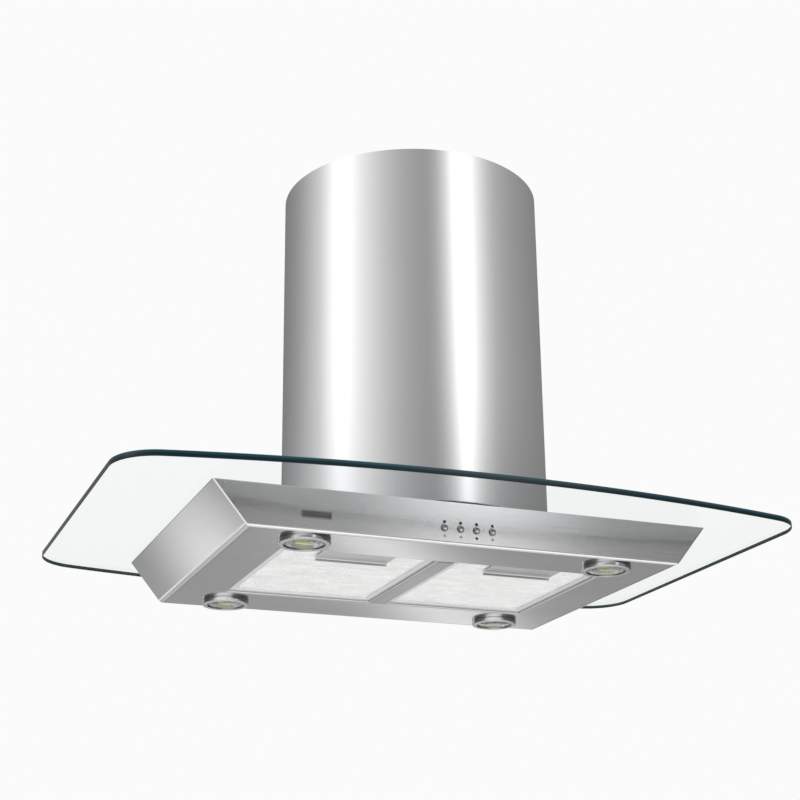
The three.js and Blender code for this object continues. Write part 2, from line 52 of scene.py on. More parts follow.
GLASS_LOW, GLASS_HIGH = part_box("glass_canopy")
BODY_LOW, BODY_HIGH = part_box("canopy_shell")
PANEL_LOW, PANEL_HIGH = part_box("bottom_panel")
CHIMNEY_LOW, CHIMNEY_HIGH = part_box("lower_chimney")
CANOPY_CENTRE = Vector(((BODY_LOW.x + BODY_HIGH.x) / 2, (BODY_LOW.y + BODY_HIGH.y) / 2, BODY_HIGH.z))
SHEET = 1.2 * MM
LAMP_NAMES = ("front_left", "front_right", "back_left", "back_right")
SIDES = ("left", "right")


# ---- Mesh helpers ----

def finish_mesh(obj, angle=35.0):
    """Smooth shading with sharp edges above an angle in degrees, flat faces kept flat."""
    obj.data.shade_smooth()
    obj.data.set_sharp_from_angle(angle=math.radians(angle))
    if "even_shading" not in obj.modifiers:
        even = obj.modifiers.new("even_shading", "WEIGHTED_NORMAL")
        even.keep_sharp = True
        even.weight = 100
    return obj


def object_of(name, bm, angle=35.0):
    bmesh.ops.remove_doubles(bm, verts=bm.verts, dist=1e-7)
    bmesh.ops.recalc_face_normals(bm, faces=bm.faces)
    mesh = bpy.data.meshes.new(name)
    bm.to_mesh(mesh)
    bm.free()
    obj = bpy.data.objects.new(name, mesh)
    bpy.context.scene.collection.objects.link(obj)
    return finish_mesh(obj, angle)


def loft_into(bm, loops, wrap=False, caps=False):
    """Quads between neighbouring loops of equal length; wrap closes last to first, caps fills both ends."""
    rings = [[bm.verts.new(point) for point in loop] for loop in loops]
    count = len(rings[0])
    pairs = list(zip(rings, rings[1:]))
    if wrap:
        pairs.append((rings[-1], rings[0]))
    for lower, upper in pairs:
        for i in range(count):
            j = (i + 1) % count
            bm.faces.new((lower[i], lower[j], upper[j], upper[i]))
    if caps:
        bm.faces.new(rings[0])
        bm.faces.new(rings[-1])


def loft(name, loops, wrap=False, caps=False, angle=35.0):
    bm = bmesh.new()
    loft_into(bm, loops, wrap, caps)
    return object_of(name, bm, angle)


def circle(centre, radius, z, count):
    steps = [2 * math.pi * i / count for i in range(count)]
    return [Vector((centre[0] + radius * math.cos(a), centre[1] + radius * math.sin(a), z)) for a in steps]


def lathe(name, centre, profile, count=64, wrap=True, caps=False):
    """Profile is a list of (radius, z) about a vertical axis through centre."""
    loops = [circle(centre, radius, z, count) for radius, z in profile]
    return loft(name, loops, wrap, caps)


def rounded_rect(low, high, radius, z, steps=5):
    """A rectangle's outline with round corners, counter-clockwise."""
    points = []
    radius = max(radius, 1e-5)
    corners = ((high[0], low[1], -90), (high[0], high[1], 0), (low[0], high[1], 90), (low[0], low[1], 180))
    for x, y, start in corners:
        cx = x - math.copysign(radius, x - (low[0] + high[0]) / 2)
        cy = y - math.copysign(radius, y - (low[1] + high[1]) / 2)
        for i in range(steps + 1):
            a = math.radians(start + 90 * i / steps)
            points.append(Vector((cx + radius * math.cos(a), cy + radius * math.sin(a), z)))
    return points


def plate_into(bm, outer, holes, z_low, z_high):
    """A flat plate with holes, raised between two heights."""
    edges = []
    for loop in (outer, *holes):
        verts = [bm.verts.new((p.x, p.y, z_high)) for p in loop]
        edges += [bm.edges.new((verts[i], verts[(i + 1) % len(verts)])) for i in range(len(verts))]
    made = bmesh.ops.triangle_fill(bm, use_beauty=True, use_dissolve=False, edges=edges)
    faces = [f for f in made["geom"] if isinstance(f, bmesh.types.BMFace)]
    moved = bmesh.ops.extrude_face_region(bm, geom=faces)["geom"]
    down = Vector((0, 0, z_low - z_high))
    bmesh.ops.translate(bm, vec=down, verts=[v for v in moved if isinstance(v, bmesh.types.BMVert)])


def plate(name, outer, holes, z_low, z_high, bevel=0.0):
    bm = bmesh.new()
    plate_into(bm, outer, holes, z_low, z_high)
    obj = object_of(name, bm)
    return bevelled(obj, bevel) if bevel else obj


def bevelled(obj, width, segments=2, angle=40.0):
    """Rounds the edges sharper than an angle."""
    modifier = obj.modifiers.new("rounded_edges", "BEVEL")
    modifier.width = width
    modifier.segments = segments
    modifier.limit_method = "ANGLE"
    modifier.angle_limit = math.radians(angle)
    modifier.harden_normals = True
    if "even_shading" in obj.modifiers:
        obj.modifiers.move(len(obj.modifiers) - 1, 0)
    return obj


def box_into(bm, low, high):
    made = bmesh.ops.create_cube(bm, size=1.0)
    centre = (Vector(low) + Vector(high)) / 2
    size = Vector(high) - Vector(low)
    matrix = Matrix.Translation(centre) @ Matrix.Diagonal((*size, 1))
    bmesh.ops.transform(bm, matrix=matrix, verts=made["verts"])


def transformed(obj, matrix):
    obj.data.transform(matrix)
    return obj


def apply_modifiers(obj):
    graph = bpy.context.evaluated_depsgraph_get()
    mesh = bpy.data.meshes.new_from_object(obj.evaluated_get(graph))
    obj.modifiers.clear()
    obj.data = mesh


def cut_away(obj, cutter):
    """Takes a cutter's shape out of a piece, and the cutter out of the scene."""
    modifier = obj.modifiers.new("cut", "BOOLEAN")
    modifier.operation = "DIFFERENCE"
    modifier.solver = "EXACT"
    modifier.object = cutter
    apply_modifiers(obj)
    bpy.data.objects.remove(cutter)
    finish_mesh(obj)


def put(obj, body, material, replaces=()):
    """Gives a piece its body and material, and hides the CAD nodes that it stands for."""
    obj.data.materials.clear()
    obj.data.materials.append(material)
    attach(obj, body)
    if replaces:
        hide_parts(*replaces)
    return obj


def second_finish(obj, material, chosen):
    """Gives some faces of a piece another material."""
    obj.data.materials.append(material)
    index = len(obj.data.materials) - 1
    for face in obj.data.polygons:
        if chosen(face):
            face.material_index = index


# ---- Node helpers ----

class Shader:
    """A material's node tree, with short calls to add and join nodes."""

    def __init__(self, name):
        self.material = bpy.data.materials.new(name)
        self.material.use_nodes = True
        self.tree = self.material.node_tree
        self.bsdf = self.tree.nodes["Principled BSDF"]
        self.coords = self.add("ShaderNodeTexCoord").outputs["Object"]

    def add(self, kind, inputs=None, **properties):
        node = self.tree.nodes.new(kind)
        for key, value in properties.items():
            setattr(node, key, value)
        for key, value in (inputs or {}).items():
            self.feed(node.inputs[key], value)
        return node

    def feed(self, socket, value):
        if isinstance(value, bpy.types.NodeSocket):
            self.tree.links.new(value, socket)
        else:
            socket.default_value = value

    def set(self, **values):
        for key, value in values.items():
            self.feed(self.bsdf.inputs[key.replace("_", " ")], value)

    def maths(self, operation, a, b=0.0, c=0.0):
        node = self.add("ShaderNodeMath", operation=operation)
        for socket, value in zip(node.inputs, (a, b, c)):
            self.feed(socket, value)
        return node.outputs[0]

    def noise(self, scale, detail=3.0, roughness=0.55, stretch=None, coords=None):
        vector = coords or self.coords
        if stretch:
            vector = self.add("ShaderNodeMapping", {"Vector": vector, "Scale": stretch}).outputs[0]
        inputs = {"Vector": vector, "Scale": scale, "Detail": detail, "Roughness": roughness}
        return self.add("ShaderNodeTexNoise", inputs).outputs["Fac"]

    def spread(self, value, low, high, from_low=0.0, from_high=1.0):
        """Maps a value onto a range, clamped."""
        inputs = {"Value": value, "From Min": from_low, "From Max": from_high, "To Min": low, "To Max": high}
        return self.add("ShaderNodeMapRange", inputs).outputs[0]

    def mix(self, factor, first, second):
        node = self.add("ShaderNodeMix", data_type="RGBA")
        self.feed(node.inputs[0], factor)
        self.feed(node.inputs[6], first)
        self.feed(node.inputs[7], second)
        return node.outputs[2]

    def bump(self, height, strength, distance, normal=None):
        inputs = {"Height": height, "Strength": strength, "Distance": distance}
        if normal:
            inputs["Normal"] = normal
        return self.add("ShaderNodeBump", inputs).outputs[0]

    def edges(self, low=0.52, high=0.6):
        """1 along convex edges, 0 elsewhere."""
        pointiness = self.add("ShaderNodeNewGeometry").outputs["Pointiness"]
        return self.spread(pointiness, 0.0, 1.0, low, high)


def grey(value, tint=(1.0, 1.0, 1.0)):
    return (value * tint[0], value * tint[1], value * tint[2], 1.0)


STEEL_TINT = (1.0, 1.0, 1.01)


def brushed_metal(name, value, roughness, stretch, grain=0.35, scale=90.0, spread=0.0, across=None,
                  painted_sheen=None, tint=STEEL_TINT):
    """Steel or aluminium with a fine directional grain, soft smudges and edges lighter where they are
    convex.

    spread is the anisotropy and across the direction in which it widens highlights, square to the grain.
    The painted highlight band is given as (axis, middle, half length, gain): the sheet is brighter by the
    gain there than at its ends."""
    s = Shader(name)
    fine = s.noise(scale, 4.0, 0.6, stretch)
    smudge = s.noise(7.0, 3.0, 0.5)
    tone = s.spread(fine, value * 0.96, value * 1.04, 0.3, 0.7)
    base = s.maths("MULTIPLY", tone, s.spread(smudge, 0.975, 1.025, 0.3, 0.7))
    # Painted highlight: a bright band across the sheet, brightest at its middle, fading to its ends.
    if painted_sheen:
        axis, middle, half, gain = painted_sheen
        place = s.add("ShaderNodeSeparateXYZ", {0: s.coords}).outputs[axis]
        away = s.maths("ABSOLUTE", s.maths("SUBTRACT", place, middle))
        ends = {"Value": away, "From Min": 0.0, "From Max": half, "To Min": gain, "To Max": 1.0}
        smooth = s.add("ShaderNodeMapRange", ends, interpolation_type="SMOOTHSTEP").outputs[0]
        base = s.maths("MULTIPLY", base, smooth)
    channels = {i: s.maths("MULTIPLY", base, share) for i, share in enumerate(tint)}
    colour = s.add("ShaderNodeCombineColor", channels).outputs[0]
    # The colour is lighter along convex edges.
    edge_lightened = s.mix(s.maths("MULTIPLY", s.edges(), 0.5), colour, grey(min(1.0, value * 1.15)))
    rough = s.maths("ADD", s.spread(fine, roughness - 0.03, roughness + 0.03, 0.3, 0.7),
                    s.spread(smudge, -0.015, 0.015, 0.3, 0.7))
    s.set(Base_Color=edge_lightened, Metallic=1.0, Roughness=rough)
    s.set(Normal=s.bump(fine, grain, 0.00004))
    if across:
        s.bsdf.inputs["Anisotropic"].default_value = spread
        s.set(Tangent=s.add("ShaderNodeCombineXYZ", {0: across[0], 1: across[1], 2: across[2]}).outputs[0])
    return s.material


def chimney_steel():
    """Bright steel with vertical grain, worked out round the chimney's axis."""
    s = Shader("chimney_steel")
    parts = s.add("ShaderNodeSeparateXYZ", {0: s.coords}).outputs
    angle = s.maths("ARCTAN2", parts[1], parts[0])
    around = s.add("ShaderNodeCombineXYZ", {0: s.maths("MULTIPLY", angle, 150.0),
                                            2: s.maths("MULTIPLY", parts[2], 5.0)}).outputs[0]
    fine = s.noise(2.4, 4.0, 0.62, coords=around)
    smudge = s.noise(5.0, 3.0, 0.5)
    tone = s.spread(fine, 0.735, 0.785, 0.3, 0.7)
    base = s.maths("MULTIPLY", tone, s.spread(smudge, 0.985, 1.015, 0.3, 0.7))
    blue = s.maths("MULTIPLY", base, 1.008)
    colour = s.add("ShaderNodeCombineColor", {0: base, 1: base, 2: blue}).outputs[0]
    # The colour is lighter along convex edges.
    edge_lightened = s.mix(s.maths("MULTIPLY", s.edges(), 0.4), colour, grey(0.9, STEEL_TINT))
    s.set(Base_Color=edge_lightened, Metallic=1.0, Roughness=s.spread(fine, 0.17, 0.23, 0.3, 0.7))
    s.set(Normal=s.bump(fine, 0.12, 0.00004))
    return s.material


def chrome():
    s = Shader("chrome")
    haze = s.noise(90.0, 3.0, 0.5)
    s.set(Base_Color=s.mix(s.spread(haze, 0.0, 1.0, 0.35, 0.65), grey(0.82), grey(0.88)), Metallic=1.0)
    s.set(Roughness=s.spread(haze, 0.06, 0.12, 0.3, 0.7), Normal=s.bump(haze, 0.03, 0.0001))
    return s.material


def canopy_glass():
    """Clear glass, nearly colourless, with a low refraction index so that it hardly mirrors the room."""
    s = Shader("canopy_glass")
    film = s.noise(3.0, 4.0, 0.6)
    wave = s.noise(1.6, 1.0, 0.4)
    s.set(Base_Color=(0.995, 1.0, 1.0, 1.0), Metallic=0.0, IOR=1.045, Transmission_Weight=1.0)
    s.set(Roughness=s.spread(film, 0.0, 0.012, 0.45, 0.8), Normal=s.bump(wave, 0.01, 0.0005))
    absorb = s.add("ShaderNodeVolumeAbsorption", {"Color": (0.10, 0.42, 0.50, 1.0), "Density": 1.8})
    s.feed(s.tree.nodes["Material Output"].inputs["Volume"], absorb.outputs[0])
    return s.material


def glass_edge():
    """The outer rim, opaque and painted the dark teal that light through the glass's depth gives it, with a
    painted highlight paler towards its top.
    """
    s = Shader("glass_edge")
    grinding = s.noise(60.0, 4.0, 0.6, (1.0, 1.0, 6.0))
    height = s.add("ShaderNodeSeparateXYZ", {0: s.coords}).outputs[2]
    # Painted highlight: the rim's colour grows paler towards its top.
    top_highlight = s.spread(height, 0.0, 1.0, GLASS_LOW.z + 3.5 * MM, GLASS_HIGH.z)
    tone = s.maths("MULTIPLY", top_highlight, s.spread(s.noise(5.0, 3.0, 0.5), 0.45, 1.0, 0.35, 0.65))
    s.set(Base_Color=s.mix(tone, (0.004, 0.020, 0.028, 1.0), (0.035, 0.150, 0.180, 1.0)))
    s.set(Metallic=0.0, IOR=1.35)
    s.set(Roughness=s.spread(grinding, 0.05, 0.18, 0.3, 0.7), Normal=s.bump(grinding, 0.06, 0.0003))
    return s.material


def ground_glass():
    """The matt edge of the drilled hole."""
    s = Shader("ground_glass")
    grit = s.noise(500.0, 4.0, 0.6)
    s.set(Base_Color=s.mix(grit, (0.36, 0.44, 0.43, 1.0), (0.46, 0.54, 0.53, 1.0)), Metallic=0.0)
    s.set(Roughness=s.spread(grit, 0.5, 0.7, 0.3, 0.7), Normal=s.bump(grit, 0.2, 0.0001))
    return s.material


def clear_glass():
    s = Shader("clear_glass")
    ripple = s.noise(160.0, 2.0, 0.5)
    s.set(Base_Color=(0.97, 0.985, 0.98, 1.0), Metallic=0.0, IOR=1.2, Transmission_Weight=1.0)
    s.set(Roughness=s.spread(ripple, 0.0, 0.05, 0.3, 0.8), Normal=s.bump(ripple, 0.05, 0.0003))
    return s.material


def bulb_glass():
    s = Shader("bulb_glass")
    tone = s.noise(240.0, 3.0, 0.5)
    s.set(Base_Color=s.mix(tone, (0.60, 0.66, 0.15, 1.0), (0.80, 0.82, 0.33, 1.0)), Metallic=0.0)
    s.set(Roughness=s.spread(tone, 0.12, 0.25), Normal=s.bump(tone, 0.1, 0.0002))
    s.bsdf.inputs["Subsurface Weight"].default_value = 0.2
    s.bsdf.inputs["Subsurface Radius"].default_value = (0.004, 0.004, 0.002)
    s.bsdf.inputs["Coat Weight"].default_value = 0.6
    return s.material


def expanded_aluminium():
    """Bright aluminium strands with a little haze and uneven layers behind."""
    s = Shader("expanded_aluminium")
    grain = s.noise(900.0, 3.0, 0.6)
    cloud = s.noise(60.0, 4.0, 0.6, (0.6, 2.0, 1.0))
    tone = s.maths("MULTIPLY", s.spread(grain, 0.92, 0.98, 0.3, 0.7), s.spread(cloud, 0.88, 1.02, 0.3, 0.7))
    warm = s.maths("MULTIPLY", tone, 0.995)
    s.set(Base_Color=s.add("ShaderNodeCombineColor", {0: tone, 1: tone, 2: warm}).outputs[0], Metallic=0.15)
    s.set(Roughness=s.spread(grain, 0.42, 0.58, 0.3, 0.7), Normal=s.bump(grain, 0.3, 0.0001))
    return s.material


def galvanised():
    """Zinc-coated sheet with its spangle."""
    s = Shader("galvanised")
    cells = s.add("ShaderNodeTexVoronoi", {"Vector": s.coords, "Scale": 95.0}).outputs["Color"]
    spangle = s.add("ShaderNodeSeparateColor", {0: cells}).outputs[0]
    grain = s.noise(400.0, 3.0, 0.6)
    tone = s.maths("ADD", s.spread(spangle, 0.42, 0.56), s.spread(grain, -0.02, 0.02, 0.3, 0.7))
    dull = s.maths("MULTIPLY", tone, 1.03)
    s.set(Base_Color=s.add("ShaderNodeCombineColor", {0: tone, 1: tone, 2: dull}).outputs[0], Metallic=0.9)
    s.set(Roughness=s.spread(spangle, 0.36, 0.55), Normal=s.bump(grain, 0.15, 0.0001))
    return s.material


def moulded(name, colour, lift=0.02, roughness=0.5):
    """Moulded plastic or rubber with a fine spark-eroded texture and lighter rubbed edges."""
    s = Shader(name)
    grain = s.noise(700.0, 4.0, 0.6)
    cloud = s.noise(25.0, 3.0, 0.5)
    darker = tuple(c * 0.85 for c in colour[:3]) + (1.0,)
    lighter = tuple(min(1.0, c + lift) for c in colour[:3]) + (1.0,)
    base = s.mix(s.spread(cloud, 0.0, 1.0, 0.3, 0.7), darker, colour)
    s.set(Base_Color=s.mix(s.maths("MULTIPLY", s.edges(), 0.7), base, lighter), Metallic=0.0)
    s.set(Roughness=s.spread(grain, roughness - 0.08, roughness + 0.1, 0.3, 0.7))
    s.set(Normal=s.bump(grain, 0.25, 0.0001))
    return s.material


def circuit_board():
    s = Shader("circuit_board")
    bricks = {"Vector": s.coords, "Scale": 160.0, "Mortar Size": 0.02}
    tracks = s.add("ShaderNodeTexBrick", bricks).outputs["Fac"]
    grain = s.noise(500.0)
    base = s.mix(tracks, (0.02, 0.13, 0.06, 1.0), (0.05, 0.3, 0.14, 1.0))
    s.set(Base_Color=base, Roughness=s.spread(grain, 0.3, 0.45), Normal=s.bump(tracks, 0.2, 0.0001))
    return s.material


def studio_floor():
    s = Shader("studio_floor")
    tone = s.noise(1.5, 3.0, 0.5)
    s.set(Base_Color=s.mix(tone, grey(0.93), grey(0.96)), Roughness=s.spread(tone, 0.6, 0.75))
    return s.material


CHIMNEY_STEEL = chimney_steel()
ALONG_X, ALONG_Y = (0.05, 9.0, 9.0), (9.0, 0.05, 9.0)
# The walls are one steel: the front and side base tones differ, and each carries a painted highlight band,
# brightest mid-face, as painted reflection.
FRONT_STEEL = brushed_metal("front_steel", 0.32, 0.205, ALONG_X, spread=0.72, across=(0.0, 0.7, 0.7),
                            painted_sheen=(0, 0.012, 0.20, 2.0))
SIDE_STEEL = brushed_metal("side_steel", 0.23, 0.15, ALONG_Y, spread=0.3, across=(0.0, 0.0, 1.0),
                           painted_sheen=(1, -0.045, 0.27, 3.24))
PANEL_STEEL = brushed_metal("panel_steel", 0.50, 0.085, ALONG_X, spread=0.2, across=(0.0, 0.7, 0.7))
DIVIDER_STEEL = brushed_metal("divider_steel", 0.27, 0.16, ALONG_Y, tint=(0.97, 1.0, 0.99))
# A paler copy of the wall steel, put on the folds and round corners as a painted highlight.
FOLD_HIGHLIGHT_STEEL = brushed_metal("fold_highlight_steel", 0.80, 0.22, (4.0, 4.0, 4.0), grain=0.1)
RIM_STEEL = brushed_metal("rim_steel", 0.52, 0.26, (4.0, 4.0, 4.0), grain=0.1)
KNOB_STEEL = brushed_metal("knob_steel", 0.42, 0.24, (4.0, 4.0, 4.0), grain=0.1)
LATCH_STEEL = brushed_metal("latch_steel", 0.62, 0.28, ALONG_X, tint=(0.985, 1.0, 0.995))
FRAME_ALUMINIUM = brushed_metal("frame_aluminium", 0.86, 0.45, (5.0, 5.0, 5.0), scale=60.0)
NAME_PLATE_GREY = moulded("name_plate_grey", (0.085, 0.088, 0.092, 1.0), 0.05, 0.35)
GLASS_EDGE = glass_edge()
GROUND_GLASS = ground_glass()
CHROME = chrome()
CANOPY_GLASS = canopy_glass()
CLEAR_GLASS = clear_glass()
BULB_GLASS = bulb_glass()
MESH_ALUMINIUM = expanded_aluminium()
GALVANISED = galvanised()
BLACK_PLASTIC = moulded("black_plastic", (0.028, 0.028, 0.031, 1.0))
GREY_PLASTIC = moulded("grey_plastic", (0.36, 0.37, 0.38, 1.0), 0.06)
PALE_PAINT = moulded("pale_paint", (0.82, 0.83, 0.84, 1.0), 0.03, 0.45)
SILICONE = moulded("silicone", (0.42, 0.43, 0.43, 1.0), 0.04, 0.6)
MOTOR_PAINT = moulded("motor_paint", (0.02, 0.021, 0.023, 1.0), 0.05, 0.38)
BOARD = circuit_board()
CERAMIC = moulded("ceramic", (0.72, 0.70, 0.64, 1.0), 0.05, 0.4)


# ---- Camera ----

CAMERA_LENS = 73.55  # millimetres on a 36 mm sensor
CAMERA_YAW, CAMERA_PITCH, CAMERA_ROLL = 0.3787, 0.3462, -0.0111  # radians
CAMERA_OFFSET = Vector((-0.7945, -1.9723, -0.5594))  # from the canopy's centre


def make_camera():
    """Below and to the left of the hood, looking up at it."""
    data = bpy.data.cameras.new("camera")
    camera = bpy.data.objects.new("camera", data)
    bpy.context.scene.collection.objects.link(camera)
    data.lens, data.sensor_width = CAMERA_LENS, 36.0
    data.clip_end = 100.0
    yaw, pitch, roll = CAMERA_YAW, CAMERA_PITCH, CAMERA_ROLL
    ahead = Vector((math.sin(yaw) * math.cos(pitch), math.cos(yaw) * math.cos(pitch), math.sin(pitch)))
    level = Vector((math.cos(yaw), -math.sin(yaw), 0))
    upright = level.cross(ahead)
    right = math.cos(roll) * level + math.sin(roll) * upright
    up = math.cos(roll) * upright - math.sin(roll) * level
    turn = Matrix((right, up, -ahead)).transposed().to_4x4()
    camera.matrix_world = Matrix.Translation(CANOPY_CENTRE + CAMERA_OFFSET) @ turn
    bpy.context.scene.camera = camera


# ---- Studio ----

# Brightness of the studio by compass direction in degrees: 0 is straight out from the controls, positive to
# the right, 180 behind. Each belt is a range of heights, given as the sine of the elevation from which it
# starts and the one from which it rules. The upper and eye belts hold two tall soft boxes, narrower at eye
# height. Below them are strip lights behind the hood, dark flags at both sides and a pale floor sweep.
BELTS = {
    "sweep": (None, None, (
        (-180, 0.95), (-140, 0.8), (-110, 0.6), (-75, 1.2), (0, 1.3), (60, 1.3), (100, 0.6), (140, 0.8),
        (180, 0.95))),
    "horizon": (-0.45, -0.36, (
        (-180, 0.42), (-172, 0.42), (-162.5, 1.35), (-153, 0.40), (-140, 0.10), (-75, 0.07), (-58, 1.0),
        (-20, 1.25), (10, 0.8), (24, 0.10), (110, 0.07), (138, 0.36), (152, 0.44), (155.4, 0.42),
        (157.2, 0.5), (158.9, 1.9), (160.6, 0.5), (162.4, 0.46), (166, 0.47), (172, 0.46), (180, 0.44))),
    "eye": (-0.02, 0.12, (
        (-180, 0.20), (-110, 0.6), (-86, 1.2), (-45, 0.5), (-14, 0.28), (7, 0.22), (16, 0.22), (24, 1.1),
        (32, 0.22), (46, 0.22), (85, 0.22), (180, 0.20))),
    "upper": (0.235, 0.33, (
        (-180, 0.20), (-140, 0.34), (-110, 0.75), (-97, 1.25), (-86, 1.75), (-72, 1.15), (-45, 0.62),
        (-14, 0.34), (0, 0.38), (10, 0.85), (17, 1.35), (24, 2.4), (31, 1.6), (40, 1.05), (56, 0.50),
        (85, 0.36), (125, 0.25), (180, 0.21))),
}
BELT_SLANT, BELT_MIDDLE = 59.5, 0.252  # degrees that the horizon belt's pattern turns per unit of height
CEILING_TONE = 1.0
CEILING_LOW, CEILING_HIGH = 0.62, 0.85
BACKDROP_TONE = 0.965


def world_node(tree, kind, inputs=None, **properties):
    node = tree.nodes.new(kind)
    for key, value in properties.items():
        setattr(node, key, value)
    for key, value in (inputs or {}).items():
        if isinstance(value, bpy.types.NodeSocket):
            tree.links.new(value, node.inputs[key])
        else:
            node.inputs[key].default_value = value
    return node


def belt_ramp(tree, compass, stops):
    """The brightness of one belt by compass direction."""
    share = world_node(tree, "ShaderNodeMapRange", {0: compass, 1: -math.pi, 2: math.pi}).outputs[0]
    ramp = world_node(tree, "ShaderNodeValToRGB", {0: share})
    ramp.color_ramp.interpolation = "B_SPLINE"
    elements = ramp.color_ramp.elements
    while len(elements) > 1:
        elements.remove(elements[-1])
    peak = max(tone for _, tone in stops)
    for index, (degrees, tone) in enumerate(stops):
        position = (degrees + 180) / 360
        element = elements[0] if index == 0 else elements.new(position)
        element.position = position
        element.color = grey(tone / peak)
    scaled = {0: ramp.outputs[0], "Scale": peak}
    return world_node(tree, "ShaderNodeVectorMath", scaled, operation="SCALE").outputs[0]


def make_world():
    """White behind the object; the studio's belts of light for everything that lights or reflects."""
    world = bpy.data.worlds.new("studio")
    bpy.context.scene.world = world
    world.use_nodes = True
    tree = world.node_tree
    tree.nodes.clear()
    direction = world_node(tree, "ShaderNodeTexCoord").outputs["Generated"]
    parts = world_node(tree, "ShaderNodeSeparateXYZ", {0: direction}).outputs
    backwards = world_node(tree, "ShaderNodeMath", {0: parts[1], 1: -1.0}, operation="MULTIPLY").outputs[0]
    compass = world_node(tree, "ShaderNodeMath", {0: parts[0], 1: backwards}, operation="ARCTAN2").outputs[0]
    offset = world_node(tree, "ShaderNodeMath", {0: parts[2], 1: BELT_MIDDLE}, operation="ADD").outputs[0]
    turned = world_node(tree, "ShaderNodeMath", {0: offset, 1: math.radians(BELT_SLANT), 2: compass},
                        operation="MULTIPLY_ADD").outputs[0]
    room = None
    for name, (low, high, stops) in BELTS.items():
        belt = belt_ramp(tree, turned if name == "horizon" else compass, stops)
        if room is None:
            room = belt
            continue
        share = world_node(tree, "ShaderNodeMapRange", {0: parts[2], 1: low, 2: high},
                           interpolation_type="SMOOTHSTEP").outputs[0]
        room = world_node(tree, "ShaderNodeMix", {0: share, 6: room, 7: belt}, data_type="RGBA").outputs[2]
    overhead = world_node(tree, "ShaderNodeMapRange", {0: parts[2], 1: CEILING_LOW, 2: CEILING_HIGH},
                          interpolation_type="SMOOTHSTEP").outputs[0]
    room = world_node(tree, "ShaderNodeMix", {0: overhead, 6: room, 7: grey(CEILING_TONE)},
                      data_type="RGBA").outputs[2]
    path = world_node(tree, "ShaderNodeLightPath").outputs
    bounces = world_node(tree, "ShaderNodeMath", {0: path["Glossy Depth"], 1: path["Diffuse Depth"]},
                         operation="ADD").outputs[0]
    seen = world_node(tree, "ShaderNodeMath", {0: bounces, 1: 0.5}, operation="LESS_THAN").outputs[0]
    shown = world_node(tree, "ShaderNodeMix", {0: seen, 6: room, 7: grey(BACKDROP_TONE)},
                       data_type="RGBA").outputs[2]
    background = world_node(tree, "ShaderNodeBackground", {0: shown, 1: 1.0})
    output = world_node(tree, "ShaderNodeOutputWorld")
    tree.links.new(background.outputs[0], output.inputs[0])


FLOOR_Z = -4.5
FLOOR_RINGS = (0.5, 4.0, 30.0)  # radii, with the innermost one filled in
FILL_Z, FILL_SIZE, FILL_POWER = -1.75, 2.4, 7.0  # a soft light from below, for what does not mirror the room


def make_studio():
    make_world()
    bm = bmesh.new()
    loft_into(bm, [circle((0, 0), radius, FLOOR_Z, 96) for radius in FLOOR_RINGS])
    middle = [e for e in bm.edges if e.is_boundary and e.verts[0].co.xy.length < FLOOR_RINGS[1]]
    bmesh.ops.contextual_create(bm, geom=middle)
    floor = object_of("floor", bm)
    floor.data.materials.append(studio_floor())
    floor.visible_glossy = False
    floor.visible_diffuse = False
    fill = bpy.data.lights.new("fill", "AREA")
    fill.shape, fill.size, fill.size_y, fill.energy = "RECTANGLE", FILL_SIZE, FILL_SIZE, FILL_POWER
    fill_lamp = bpy.data.objects.new("fill", fill)
    fill_lamp.matrix_world = Matrix.Translation((0, 0, FILL_Z)) @ Matrix.Rotation(math.pi, 4, "X")
    fill_lamp.visible_camera = fill_lamp.visible_glossy = fill_lamp.visible_transmission = False
    bpy.context.scene.collection.objects.link(fill_lamp)
    bpy.context.scene.view_settings.view_transform = "Standard"
    bpy.context.scene.view_settings.look = "None"


make_camera()
make_studio()


# ---- Chimney ----

ROUND = 192
VENT_ROWS, VENT_TOP, VENT_PITCH, VENT_HEIGHT = 5, -50 * MM, 12 * MM, 5 * MM
VENT_HALF_WIDTH, VENT_REACH = 35 * MM, 30 * MM
SEAM_OUTER, SEAM_INNER = 4.6, 4.5  # degrees from the chimney's back to the seam strip's foot and crest
SEAM_FOOT, SEAM_CREST = 0.05 * MM, 0.9 * MM
SEAM_STEPS, SCREWS = 6, 5
FIRST_SCREW, SCREW_STEP = 0.06, 0.22  # shares of the chimney's height


def tube_profile(outer, inner, low, high, lip=0.3 * MM):
    return [(inner + lip, low), (outer - lip, low), (outer, low + lip), (outer, high - lip),
            (outer - lip, high), (inner + lip, high), (inner, high - lip), (inner, low + lip)]


def make_chimneys():
    outer = CHIMNEY_HIGH.x
    profile = tube_profile(outer, outer - SHEET, CHIMNEY_LOW.z, CHIMNEY_HIGH.z)
    outside = lathe("chimney_outer", (0, 0), profile, ROUND)
    put(outside, "hood", CHIMNEY_STEEL, ["lower_chimney"])
    inner_low, inner_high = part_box("upper_chimney")
    outer = inner_high.x
    profile = tube_profile(outer, outer - SHEET, inner_low.z, inner_high.z)
    tube = lathe("chimney_inner", (0, 0), profile, ROUND)
    bm = bmesh.new()
    for row in range(VENT_ROWS):
        high = VENT_TOP - row * VENT_PITCH
        for x in (-outer, outer):
            low_corner = (x - VENT_REACH, -VENT_HALF_WIDTH, high - VENT_HEIGHT)
            box_into(bm, low_corner, (x + VENT_REACH, VENT_HALF_WIDTH, high))
    cut_away(tube, object_of("vent_cutter", bm))
    put(tube, "ceiling_mount", CHIMNEY_STEEL, ["upper_chimney"])
    make_seam(CHIMNEY_HIGH.x)


